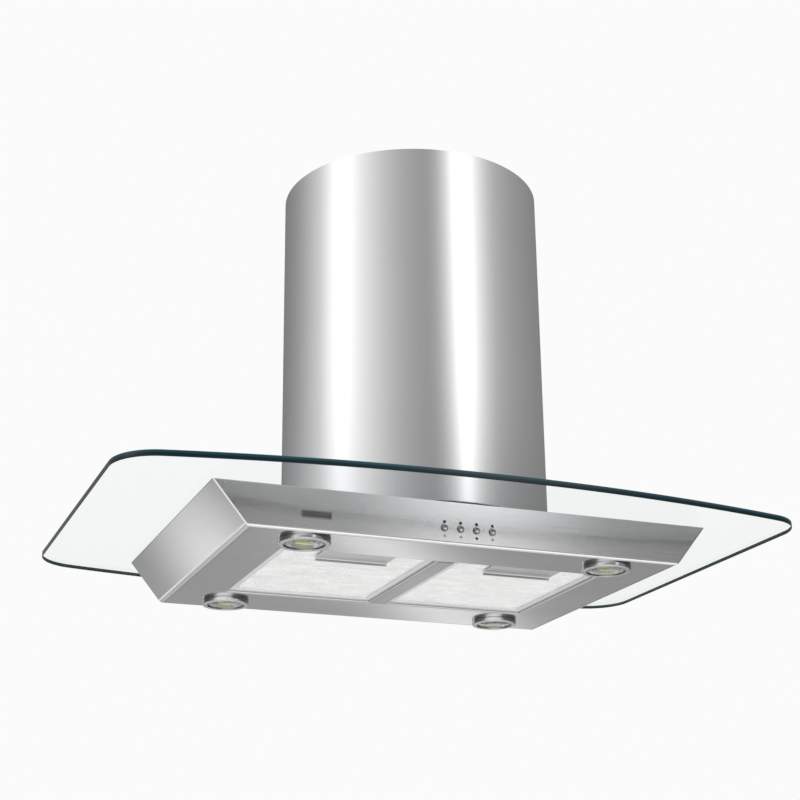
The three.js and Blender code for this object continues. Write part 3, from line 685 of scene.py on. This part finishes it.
def make_seam(radius):
    """The outer chimney's lapped seam down its back, held by screws."""
    bm = bmesh.new()
    spans = [math.radians(90 + d) for d in (-SEAM_OUTER, -SEAM_INNER, SEAM_INNER, SEAM_OUTER)]
    lifts = (SEAM_FOOT, SEAM_CREST, SEAM_CREST, SEAM_FOOT)
    loops = []
    for z in (CHIMNEY_LOW.z + 1 * MM, CHIMNEY_HIGH.z - 1 * MM):
        edge = []
        for start, end, lift_a, lift_b in zip(spans, spans[1:], lifts, lifts[1:]):
            for i in range(SEAM_STEPS):
                a = start + (end - start) * i / SEAM_STEPS
                r = radius + lift_a + (lift_b - lift_a) * i / SEAM_STEPS
                edge.append(Vector((r * math.cos(a), r * math.sin(a), z)))
        foot = radius + lifts[-1]
        edge.append(Vector((foot * math.cos(spans[-1]), foot * math.sin(spans[-1]), z)))
        turns = (spans[-1], math.pi / 2, spans[0])
        back = [Vector((radius * math.cos(a), radius * math.sin(a), z)) for a in turns]
        loops.append(edge + [p * 0.999 for p in back])
    loft_into(bm, loops, caps=True)
    put(object_of("chimney_seam", bm), "hood", CHIMNEY_STEEL)
    height = CHIMNEY_HIGH.z - CHIMNEY_LOW.z
    head = [(0.05, 1.4), (1.2, 1.4), (1.3, 2.0), (2.4, 1.8), (3.3, 1.2), (3.6, 0.6), (3.6, 0.0), (0.05, 0.0)]
    profile = [(r * MM, z * MM) for r, z in head]
    for i in range(SCREWS):
        screw = lathe(f"seam_screw_{i + 1}", (0, 0), profile, 28, wrap=False, caps=True)
        z = CHIMNEY_LOW.z + height * (FIRST_SCREW + SCREW_STEP * i)
        turn = Matrix.Translation((0, radius + 0.8 * MM, z)) @ Matrix.Rotation(-math.pi / 2, 4, "X")
        put(transformed(screw, turn), "hood", CHROME)


# ---- Glass canopy ----

GLASS_BOW = 52 * MM
GLASS_CORNER = 60 * MM
GLASS_HOLE = 165 * MM


def arc(centre, radius, start, end, steps):
    """Points along an arc, without its last one."""
    angles = [start + (end - start) * i / steps for i in range(steps)]
    return [Vector((centre[0] + radius * math.cos(a), centre[1] + radius * math.sin(a), 0)) for a in angles]


def glass_outline(inset):
    """The canopy's edge about its own centre, drawn in by an inset."""
    half_length = (GLASS_HIGH.x - GLASS_LOW.x) / 2
    half_depth = (GLASS_HIGH.y - GLASS_LOW.y) / 2
    wide = (half_length ** 2 + GLASS_BOW ** 2) / (2 * GLASS_BOW)
    wide_y = wide - half_depth
    corner_x = half_length - GLASS_CORNER
    corner_y = wide_y - math.sqrt((wide - GLASS_CORNER) ** 2 - corner_x ** 2)
    lean = math.atan2(corner_y - wide_y, corner_x)
    broad, tight = wide - inset, GLASS_CORNER - inset
    return (
        arc((0, wide_y), broad, -math.pi - lean, lean, 72)
        + arc((corner_x, corner_y), tight, lean, 0, 14)
        + arc((corner_x, -corner_y), tight, 0, -lean, 14)
        + arc((0, -wide_y), broad, -lean, math.pi + lean, 72)
        + arc((-corner_x, -corner_y), tight, math.pi + lean, math.pi, 14)
        + arc((-corner_x, corner_y), tight, math.pi, math.pi - lean, 14)
    )


def rounded_edge(low, high, radius, steps=4):
    """(inset, z) pairs that round both corners of an edge, from the bottom face to the top face."""
    turns = [math.pi / 2 * i / steps for i in range(steps + 1)]
    bottom = [(radius * (1 - math.sin(a)), low + radius * (1 - math.cos(a))) for a in turns]
    top = [(inset, high + low - z) for inset, z in reversed(bottom)]
    return bottom + top


def make_glass():
    centre = Vector((0, CANOPY_CENTRE.y, 0))
    low, high = GLASS_LOW.z, GLASS_HIGH.z
    polish = 1.2 * MM
    loops = []
    for inset, z in rounded_edge(low, high, polish):
        loops.append([p + centre + Vector((0, 0, z)) for p in glass_outline(inset)])
    directions = [math.atan2(p.y, p.x) for p in loops[0]]

    def hole(radius, z):
        return [Vector((radius * math.cos(a), radius * math.sin(a), z)) for a in directions]

    for inset, z in reversed(rounded_edge(low, high, polish)):
        loops.append(hole(GLASS_HOLE + inset, z))
    glass = loft("glass_sheet", loops, wrap=True, angle=60.0)
    put(glass, "hood", CANOPY_GLASS, ["glass_canopy"])
    hole_rim = GLASS_HOLE + 5 * MM

    def on_edge(face, outside):
        return abs(face.normal.z) < 0.98 and (face.center.xy.length > hole_rim) == outside

    second_finish(glass, GLASS_EDGE, lambda face: on_edge(face, True))
    second_finish(glass, GROUND_GLASS, lambda face: on_edge(face, False))


# ---- Steel body ----

BODY_HALF_TOP = BODY_HIGH.x
BODY_HALF_BOTTOM = 285.5 * MM
BODY_HALF_DEPTH = (BODY_HIGH.y - BODY_LOW.y) / 2
BODY_HEIGHT = BODY_HIGH.z - BODY_LOW.z
FOLD = 3.6 * MM  # outer radius of the fold between a wall and the underside
CORNER = 2.4 * MM
FLANGE, LID_INSET, LID_SHEET = 5 * MM, 12 * MM, 1.5 * MM
WALL = 1.6 * MM
BUTTON_HOLE, INDICATOR_HOLE, INDICATOR_RISE = 4.9 * MM, 1.9 * MM, 7.4 * MM  # two radii, and a height above
INTAKE_HALF_WIDTH, INTAKE_HALF_DEPTH, INTAKE_CORNER = 82 * MM, 134 * MM, 6 * MM


def body_half_width(z):
    return BODY_HALF_TOP - (BODY_HIGH.z - z) * (BODY_HALF_TOP - BODY_HALF_BOTTOM) / BODY_HEIGHT


def body_loop(inset, z):
    """The body's outline at a height, drawn in by an inset all round."""
    half_width = body_half_width(z) - inset
    half_depth = BODY_HALF_DEPTH - inset
    y = CANOPY_CENTRE.y
    radius = max(CORNER - inset, 0.3 * MM)
    return rounded_rect((-half_width, y - half_depth), (half_width, y + half_depth), radius, z)


def fold_steps(radius, steps=6):
    """(inset, rise) pairs of a fold's quarter round, from its lowest line up to the wall."""
    turns = [math.pi / 2 * i / steps for i in range(steps + 1)]
    return [(radius * (1 - math.sin(a)), radius * (1 - math.cos(a))) for a in turns]


BUTTON_NAMES = [f"button_{i}" for i in range(1, 5)]


def make_body():
    top, low = BODY_HIGH.z, BODY_LOW.z
    outside = [body_loop(FLANGE, low)]
    outside += [body_loop(inset, low + rise) for inset, rise in fold_steps(FOLD)]
    outside += [body_loop(inset, top - rise) for inset, rise in reversed(fold_steps(1.2 * MM, 4))]
    rim = [body_loop(LID_INSET, top), body_loop(LID_INSET, top - LID_SHEET)]
    inside = [body_loop(WALL, top - LID_SHEET), body_loop(WALL, low + FOLD), body_loop(FLANGE, low + SHEET)]
    shell = loft("body_walls", outside + rim + inside, wrap=True)
    cutters = []
    for name in BUTTON_NAMES:
        button_low, button_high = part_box(name)
        x, z = (button_low.x + button_high.x) / 2, (button_low.z + button_high.z) / 2
        cutters.append(((x, z), BUTTON_HOLE))
        cutters.append(((x, z + INDICATOR_RISE), INDICATOR_HOLE))
    drill_front(shell, cutters)
    put(shell, "hood", FRONT_STEEL, ["canopy_shell"])
    # The side walls get their own copy of the steel, with its own painted tone and painted highlight band.
    second_finish(shell, SIDE_STEEL, lambda face: abs(face.normal.x) > 0.5)
    # Painted highlight: the folds and round corners get the paler steel.
    second_finish(shell, FOLD_HIGHLIGHT_STEEL, lambda face: max(map(abs, face.normal)) < 0.995 and on_fold(face, low))
    make_lid(top)


def on_fold(face, low):
    """Whether a face belongs to the bottom fold or to a round corner of the walls, which get the painted
    highlight.
    """
    if face.center.z < low + FOLD:
        return abs(face.normal.x) < 0.76 or face.center.z < low + 0.9 * FOLD
    return abs(face.normal.y) > 0.05 and abs(face.normal.x) > 0.05


def drill_front(shell, holes):
    """Round holes through the front wall."""
    bm = bmesh.new()
    for (x, z), radius in holes:
        loops = []
        for y in (BODY_LOW.y - 4 * MM, BODY_LOW.y + 4 * MM):
            ring = circle((x, z), radius, 0, 32)
            loops.append([Vector((p.x, y, p.y)) for p in ring])
        loft_into(bm, loops, caps=True)
    cut_away(shell, object_of("front_drill", bm))


def make_lid(top):
    """The middle of the lid, with the air intake cut through it."""
    outer = body_loop(LID_INSET - 0.5 * MM, top)
    half_width, half_depth = INTAKE_HALF_WIDTH, INTAKE_HALF_DEPTH
    intake = rounded_rect((-half_width, -half_depth), (half_width, half_depth), INTAKE_CORNER, top)
    lid = plate("body_lid", outer, [intake], top - LID_SHEET, top - 0.05 * MM, 0.2 * MM)
    put(lid, "hood", FRONT_STEEL)


OPENING_FRONT = CANOPY_CENTRE.y - 128 * MM
OPENING_BACK = CANOPY_CENTRE.y + 118 * MM
OPENING_INNER, OPENING_OUTER = 13 * MM, 216 * MM
PANEL_GAP = 5.3 * MM  # from the body's outer face to the panel's edge
LIP_ROLL, LIP_STEPS = 2.6 * MM, 6
LAMP_HOLE = 28.6 * MM


def opening(side, grow=0.0):
    """Low and high corners of a filter opening in XY."""
    inner, outer = side * OPENING_INNER, side * OPENING_OUTER
    low, high = min(inner, outer), max(inner, outer)
    return (low - grow, OPENING_FRONT - grow), (high + grow, OPENING_BACK + grow)


def lamp_centre(name):
    low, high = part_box(f"lamp_housing_{name}")
    return (low.x + high.x) / 2, (low.y + high.y) / 2


def make_bottom():
    low = PANEL_LOW.z
    y = CANOPY_CENTRE.y
    half_width = BODY_HALF_BOTTOM - PANEL_GAP
    half_depth = BODY_HALF_DEPTH - PANEL_GAP
    outer = rounded_rect((-half_width, y - half_depth), (half_width, y + half_depth), 1.5 * MM, low)
    holes = [rounded_rect(*opening(side, LIP_ROLL), 4 * MM, low) for side in (-1, 1)]
    holes += [circle(lamp_centre(name), LAMP_HOLE, low, 48) for name in LAMP_NAMES]
    panel = plate("underside_panel", outer, holes, low, low + SHEET, 0.15 * MM)
    put(panel, "hood", PANEL_STEEL, ["bottom_panel"])
    for side, label in zip((-1, 1), SIDES):
        loops = []
        for grow, rise in fold_steps(LIP_ROLL, LIP_STEPS):
            loops.append(rounded_rect(*opening(side, grow), 1.5 * MM + grow, low + rise))
        loops.append(rounded_rect(*opening(side, 0), 1.5 * MM, PANEL_HIGH.z))
        loops.append(rounded_rect(*opening(side, SHEET), 2.5 * MM, PANEL_HIGH.z))
        loops.append(rounded_rect(*opening(side, SHEET), 2.5 * MM, low + LIP_ROLL))
        loops.append(rounded_rect(*opening(side, LIP_ROLL), 4.0 * MM, low + SHEET))
        lip = loft(f"opening_lip_{label}", loops, wrap=True)
        put(lip, "hood", PANEL_STEEL)
    bm = bmesh.new()
    half = OPENING_INNER - LIP_ROLL - 0.2 * MM
    box_into(bm, (-half, OPENING_FRONT, low - 0.5 * MM), (half, OPENING_BACK, low + 0.3 * MM))
    strip = bevelled(object_of("divider_strip", bm), 0.25 * MM)
    put(strip, "hood", DIVIDER_STEEL)


# ---- Lamps ----

def make_lamps():
    for name in LAMP_NAMES:
        centre = lamp_centre(name)
        base = BODY_LOW.z

        def turned_piece(suffix, profile, count, closed):
            points = [(r * MM, base + z * MM) for r, z in profile]
            return lathe(f"lamp_{name}_{suffix}", centre, points, count, wrap=closed, caps=not closed)

        ring = [(25.3, -5.9), (25.6, -6.3), (26.2, -6.5), (29.8, -6.5), (31.0, -6.2), (31.7, -5.5),
                (32.0, -4.5), (32.0, -1.6), (32.0, -0.3), (28.0, -0.3), (28.0, 21.5), (8.0, 21.5),
                (7.8, 15.6), (9.0, 15.5), (13.0, 14.3), (17.0, 12.5), (20.3, 10.2), (22.5, 7.5),
                (23.7, 3.8), (24.2, -0.3), (24.3, -3.7), (25.2, -3.7)]
        cup = put(turned_piece("cup", ring, 72, True), "hood", CHROME, [f"lamp_housing_{name}"])
        second_finish(cup, RIM_STEEL, lambda face: face.center.z < base - 4.2 * MM)
        lens = [(0.01, -6.0), (8.0, -5.9), (15.0, -5.5), (21.0, -4.9), (24.6, -4.6), (25.0, -4.3),
                (25.0, -4.0), (24.0, -4.0), (15.0, -4.3), (0.01, -4.5)]
        put(turned_piece("lens", lens, 64, False), "hood", CLEAR_GLASS, [f"lamp_lens_{name}"])
        make_bulb(name, (centre[0], centre[1] + 5 * MM), base + 2.2 * MM)


def make_bulb(name, centre, z):
    """A halogen capsule lying across the cup, with a ceramic foot."""
    section = [(0.01, -11.6), (1.6, -11.5), (3.2, -10.6), (4.5, -9.2), (5.2, -7.2), (5.5, -5.0), (5.5, 5.4),
               (5.1, 6.8), (4.2, 7.6), (0.01, 7.8)]
    profile = [(r * MM, x * MM) for r, x in section]
    capsule = lathe(f"lamp_{name}_bulb", (0, 0), profile, 28, wrap=False, caps=True)
    turn = Matrix.Translation((*centre, z)) @ Matrix.Rotation(math.pi / 2, 4, "Y")
    put(transformed(capsule, turn), "hood", BULB_GLASS, [f"lamp_bulb_{name}"])
    bm = bmesh.new()
    box_into(bm, (7.2 * MM, -5 * MM, -4 * MM), (14.5 * MM, 5 * MM, 8 * MM))
    foot = bevelled(object_of(f"lamp_{name}_foot", bm), 0.6 * MM)
    put(transformed(foot, Matrix.Translation((*centre, z))), "hood", CERAMIC)


# ---- Filters ----

RAIL_REACH = 1.4 * MM  # the rails come this much nearer to the openings' lips than their CAD blocks
RAIL_WIDTH = 9 * MM
STRAND_PITCH_X, STRAND_PITCH_Y, STRAND_WIDTH, STRAND_SHEET = 7 * MM, 3.6 * MM, 1.1 * MM, 0.5 * MM
BACKING_COLUMNS, BACKING_ROWS, BACKING_WAVE = 72, 90, 0.22 * MM


def make_filters():
    for label in SIDES:
        low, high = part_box(f"filter_frame_{label}")
        reach = Vector((RAIL_REACH, RAIL_REACH, 0))
        low, high = low - reach, high + reach
        body = f"filter_{label}"
        section = [(0.0, 0.8), (0.3, 0.2), (0.9, 0.0), (7.6, 0.0), (8.6, 0.4), (9.0, 1.2), (9.0, 2.2),
                   (8.2, 2.2), (8.0, 1.1), (1.2, 1.1), (1.2, 7.9), (9.0, 7.9), (9.0, 9.0), (0.6, 9.0),
                   (0.0, 8.4)]
        loops = []
        for inset, rise in section:
            inset, rise = inset * MM, rise * MM
            loops.append(rounded_rect((low.x + inset, low.y + inset), (high.x - inset, high.y - inset),
                                      max(2.0 * MM - inset, 0.4 * MM), low.z + rise))
        frame_piece = loft(f"filter_{label}_rails", loops, wrap=True)
        put(frame_piece, body, FRAME_ALUMINIUM, [f"filter_frame_{label}"])
        make_mesh_pack(label, body, low, high)


def strand_into(bm, points, width, thickness):
    """A flat strand through points in a plane of constant height."""
    half = width / 2
    rings = []
    for i, p in enumerate(points):
        before, after = points[max(i - 1, 0)], points[min(i + 1, len(points) - 1)]
        along = (after - before).normalized()
        side = Vector((-along.y, along.x, 0)) * half
        down = Vector((0, 0, -thickness))
        rings.append([bm.verts.new(q) for q in (p + side, p - side, p - side + down, p + side + down)])
    for a, b in zip(rings, rings[1:]):
        for k in range(4):
            bm.faces.new((a[k], a[(k + 1) % 4], b[(k + 1) % 4], b[k]))
    bm.faces.new(rings[0])
    bm.faces.new(rings[-1][::-1])


def make_mesh_pack(label, body, low, high):
    """The lowest expanded sheet as a lattice of slanted strands, over a backing of finer crumpled layers."""
    x0, x1 = low.x + RAIL_WIDTH - 1 * MM, high.x - RAIL_WIDTH + 1 * MM
    y0, y1 = low.y + RAIL_WIDTH - 1 * MM, high.y - RAIL_WIDTH + 1 * MM
    count_x, count_y = int((x1 - x0) / STRAND_PITCH_X), int((y1 - y0) / STRAND_PITCH_Y)
    bm = bmesh.new()
    for row in range(count_y):
        y = y0 + (row + 0.5) * (y1 - y0) / count_y
        points = []
        for i in range(2 * count_x + 1):
            x = x0 + (x1 - x0) * i / (2 * count_x)
            sway = (0.5 if (i + row) % 2 else -0.5) * STRAND_PITCH_Y * 0.86
            lift = 0.25 * MM * math.sin(x * 190 + row * 0.35)
            points.append(Vector((x, y + sway, low.z + 1.75 * MM + lift)))
        strand_into(bm, points, STRAND_WIDTH, STRAND_SHEET)
    lattice = object_of(f"filter_{label}_mesh_outer", bm)
    put(lattice, body, MESH_ALUMINIUM)
    make_backing(label, body, (x0, y0), (x1, y1), low.z)


def make_backing(label, body, low, high, z):
    """A finely waved sheet for the inner layers."""
    rng = random.Random(7)
    columns, rows = BACKING_COLUMNS, BACKING_ROWS
    phases = [rng.uniform(0, 6.28) for _ in range(4)]
    sheets = []
    bm = bmesh.new()
    for height in (2.5 * MM, 5.6 * MM):
        grid = []
        for j in range(rows + 1):
            line = []
            for i in range(columns + 1):
                x = low[0] + (high[0] - low[0]) * i / columns
                y = low[1] + (high[1] - low[1]) * j / rows
                wave = math.sin(x * 420 + phases[0] + 2 * math.sin(y * 90 + phases[1]))
                wave += math.sin(y * 610 + phases[2] + 1.5 * math.sin(x * 70 + phases[3]))
                line.append(bm.verts.new((x, y, z + height + BACKING_WAVE * wave)))
            grid.append(line)
        sheets.append(grid)
    for grid in sheets:
        for j in range(rows):
            for i in range(columns):
                bm.faces.new((grid[j][i], grid[j][i + 1], grid[j + 1][i + 1], grid[j + 1][i]))
    lower, upper = sheets
    border = [(0, i) for i in range(columns)] + [(j, columns) for j in range(rows)]
    border += [(rows, i) for i in range(columns, 0, -1)] + [(j, 0) for j in range(rows, 0, -1)]
    for (j0, i0), (j1, i1) in zip(border, border[1:] + border[:1]):
        bm.faces.new((lower[j0][i0], lower[j1][i1], upper[j1][i1], upper[j0][i0]))
    backing = object_of(f"filter_{label}_mesh_inner", bm, 180.0)
    put(backing, body, MESH_ALUMINIUM, [f"filter_mesh_{label}"])


def make_latches():
    for label in SIDES:
        low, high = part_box(f"filter_latch_{label}")
        plate_high = high.z
        plate_low = plate_high - 1.5 * MM
        bm = bmesh.new()
        section = [(low.y, plate_low + 0.5 * MM), (low.y + 0.5 * MM, plate_low),
                   (high.y - 2.2 * MM, plate_low), (high.y - 1.6 * MM, plate_low - 0.6 * MM),
                   (high.y - 1.4 * MM, low.z + 0.4 * MM), (high.y - 1.0 * MM, low.z),
                   (high.y - 0.4 * MM, low.z), (high.y, low.z + 0.5 * MM),
                   (high.y, plate_high - 1.2 * MM), (high.y - 1.2 * MM, plate_high), (low.y, plate_high)]
        loops = [[Vector((x, y, z)) for y, z in section] for x in (low.x, high.x)]
        loft_into(bm, loops, caps=True)
        latch = object_of(f"latch_{label}_plate", bm)
        bevelled(latch, 0.3 * MM)
        put(latch, f"latch_{label}", LATCH_STEEL, [f"filter_latch_{label}"])


# ---- Controls ----

MARK_DROP = 10.1 * MM  # from a button's centre down to its mark


def make_controls():
    for name in BUTTON_NAMES:
        low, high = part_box(name)
        x, z = (low.x + high.x) / 2, (low.z + high.z) / 2
        section = [(0.05, 0.55), (1.6, 0.42), (2.6, 0.15), (3.2, 0.0), (3.8, 0.15), (4.15, 0.7), (4.2, 1.3),
                   (4.2, 4.4), (5.4, 4.4), (5.4, 5.6), (2.5, 5.6), (2.5, 13.2), (0.05, 13.2)]
        profile = [(r * MM, -d * MM) for r, d in section]
        cap = lathe(f"{name}_cap", (0, 0), profile, 40, wrap=False, caps=True)
        turn = Matrix.Translation((x, low.y, z)) @ Matrix.Rotation(math.pi / 2, 4, "X")
        put(transformed(cap, turn), name, KNOB_STEEL, [name])
        dot = ((0.05, 0.0), (1.8, 0.0), (1.8, 0.16), (1.6, 0.24), (0.05, 0.24))
        profile = [(r * MM, d * MM) for r, d in dot]
        mark = lathe(f"{name}_mark", (0, 0), profile, 24, wrap=False, caps=True)
        turn = Matrix.Translation((x, BODY_LOW.y, z - MARK_DROP)) @ Matrix.Rotation(math.pi / 2, 4, "X")
        ink = BLACK_PLASTIC if name == "button_3" else GREY_PLASTIC
        put(transformed(mark, turn), "hood", ink)


def make_badge():
    """A blank dark name plate with a thin steel rim."""
    low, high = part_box("badge")
    rim = ((0.0, high.y), (0.0, low.y + 0.2 * MM), (0.2, low.y), (0.7, low.y), (0.9, low.y + 0.25 * MM))
    loops = []
    for inset, y in rim:
        inset = inset * MM
        corners = (low.x + inset, low.z + inset), (high.x - inset, high.z - inset)
        ring = rounded_rect(*corners, 1.6 * MM - inset, 0)
        loops.append([Vector((p.x, y, p.y)) for p in ring])
    bm = bmesh.new()
    loft_into(bm, loops, caps=True)
    plate_piece = put(object_of("name_plate", bm), "hood", DIVIDER_STEEL, ["badge"])
    second_finish(plate_piece, NAME_PLATE_GREY, lambda face: len(face.vertices) > 8 and face.normal.y < -0.9)


# ---- CAD nodes that stay, with rounded edges and their own materials ----

KEPT_FINISHES = (
    (PALE_PAINT, 0.3, ("chimney_ring",)),
    (GALVANISED, 0.3, ("ceiling_plate", "strut_brace", "motor_chamber", "blower_housing",
                       "impeller", "impeller_shaft", "motor_bracket", "damper_axle")),
    (GALVANISED, 0.3, tuple(f"{part}_strut_{i}" for part in ("upper", "lower") for i in range(1, 5))),
    (BLACK_PLASTIC, 0.4, ("switch_block", "transformer", "terminal_block", "cable_gland", "outlet_collar",
                          "damper_flap_left", "damper_flap_right")),
    (GREY_PLASTIC, 0.4, ("capacitor", "terminal_box", "terminal_lid")),
    (BOARD, 0.1, ("control_board",)),
    (MOTOR_PAINT, 0.5, ("motor",)),
    (SILICONE, 0.2, ("glass_grommet",)),
    (CLEAR_GLASS, 0.1, ("light_guide",)),
)


def finish_kept_nodes():
    for material, width, names in KEPT_FINISHES:
        for name in names:
            node = NODES[name]
            node.data.materials.clear()
            node.data.materials.append(material)
            bevelled(node, width * MM)


make_chimneys()
make_glass()
make_body()
make_bottom()
make_lamps()
make_filters()
make_latches()
make_controls()
make_badge()
finish_kept_nodes()
